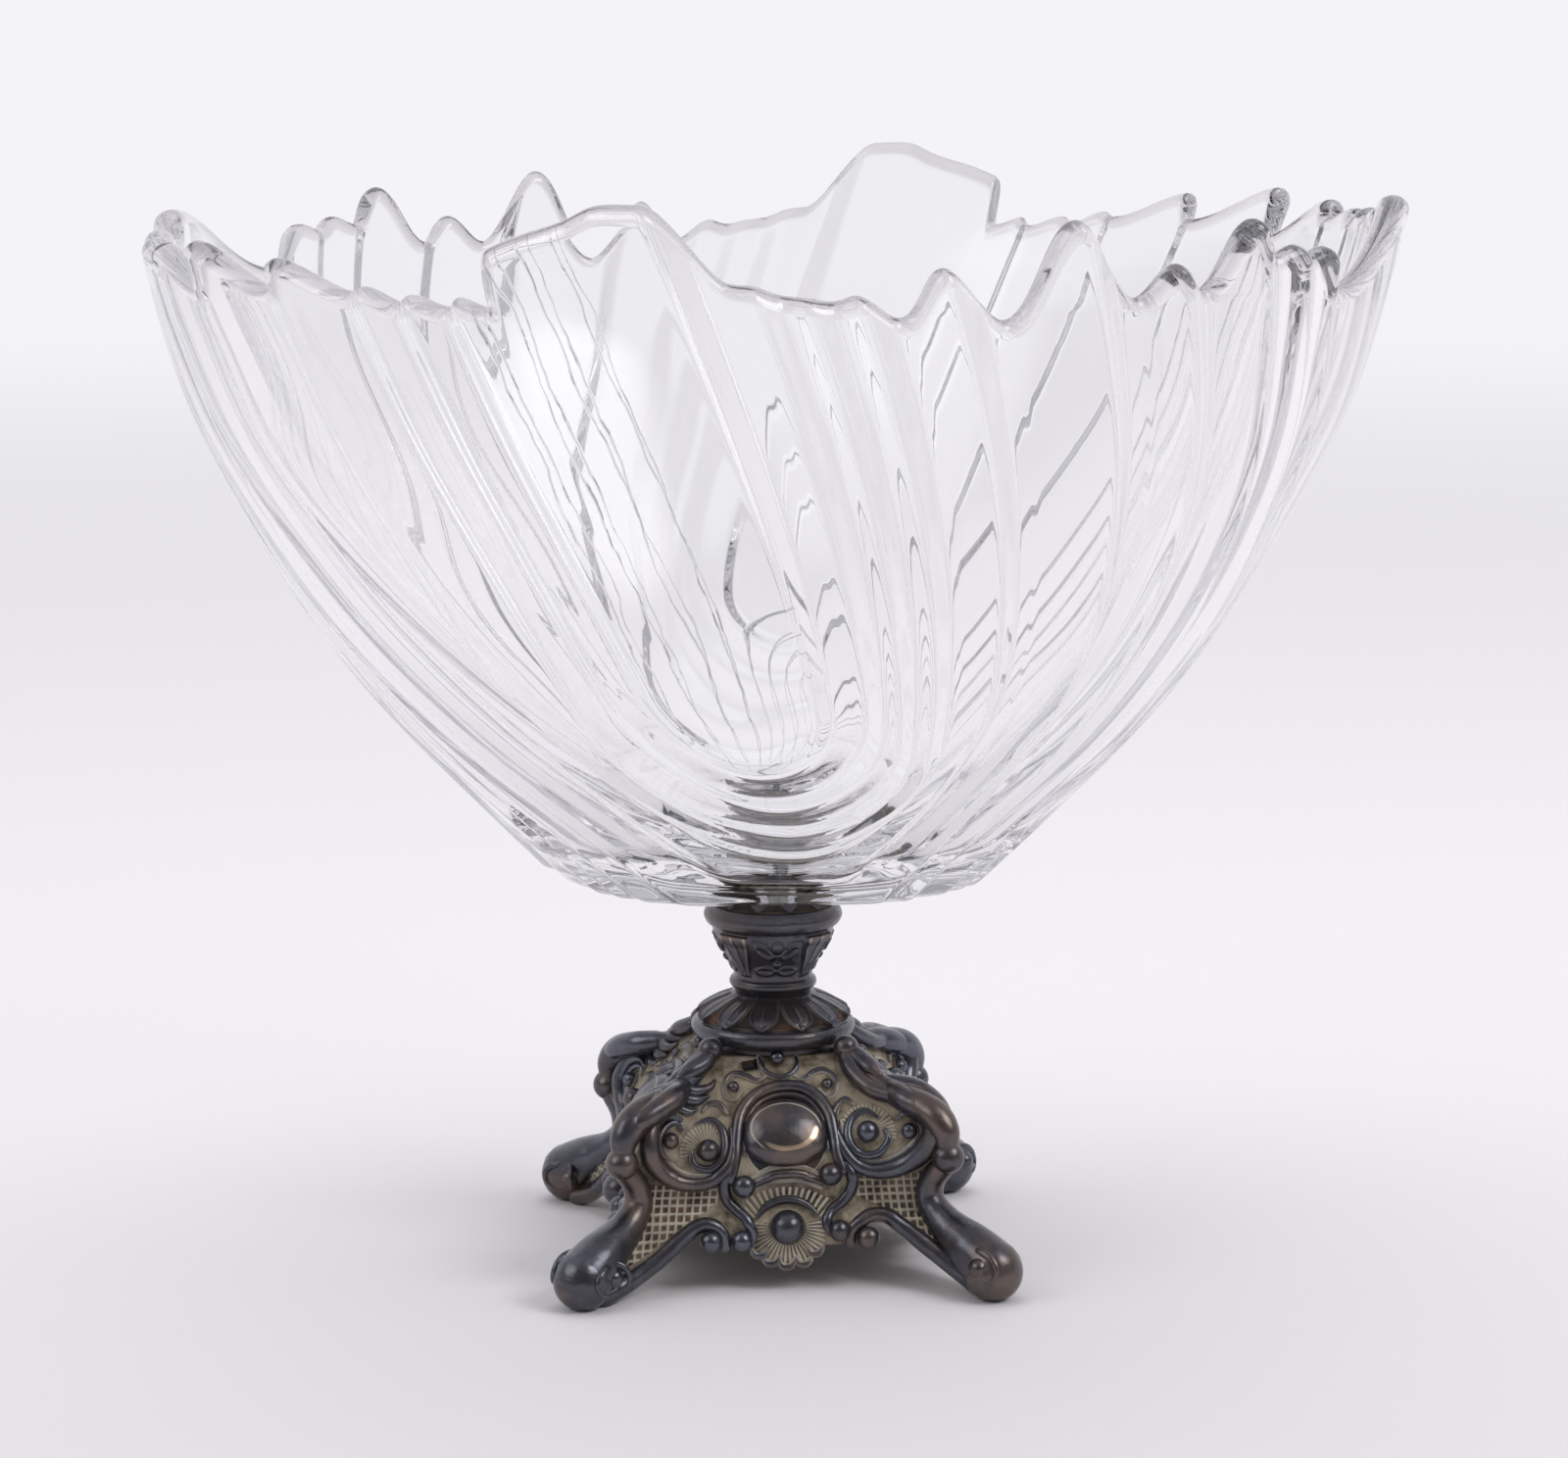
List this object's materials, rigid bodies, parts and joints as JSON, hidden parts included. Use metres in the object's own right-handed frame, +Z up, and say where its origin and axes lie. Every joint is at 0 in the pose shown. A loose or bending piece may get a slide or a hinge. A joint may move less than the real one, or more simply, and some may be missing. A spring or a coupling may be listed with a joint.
{
  "type": "table centerpiece",
  "caption": "Pressed glass bowl with a swirled, jagged rim, clamped by a threaded rod on a stem and a four-legged rococo foot of oxidised silver plate.",
  "frame": {"origin": "on the table, under the middle of the foot", "axes": "+Z up along the threaded rod, -Y towards the front panel of the foot, +X to the right"},
  "size_m": [0.2476, 0.2452, 0.2198],
  "materials": {
    "glass": "clear, pressed and fire polished",
    "silver_plate": "cast zinc alloy with oxidised silver plate, dark blue-grey, polished high points and grime in the recesses",
    "dark_cap": "oxidised plate, mottled",
    "steel": "plain steel, dulled",
    "clear_sleeve": "translucent plastic tube",
    "washer": "grey soft washer"
  },
  "bodies": {
    "root": {"glass_bowl": "glass", "bowl_cap": "dark_cap", "cap_washer": "washer", "hole_sleeve": "clear_sleeve", "seat_washer": "washer", "stem_cup": "silver_plate", "leaf_collar": "silver_plate", "crown_plate": "silver_plate", "spreader_plate": "steel", "lock_washer": "steel", "base_nut": "steel", "tie_rod": "steel", "side_panel_front": "silver_plate", "side_panel_right": "silver_plate", "side_panel_back": "silver_plate", "side_panel_left": "silver_plate", "leg_front_right": "silver_plate", "leg_back_right": "silver_plate", "leg_back_left": "silver_plate", "leg_front_left": "silver_plate"}
  },
  "joints": []
}
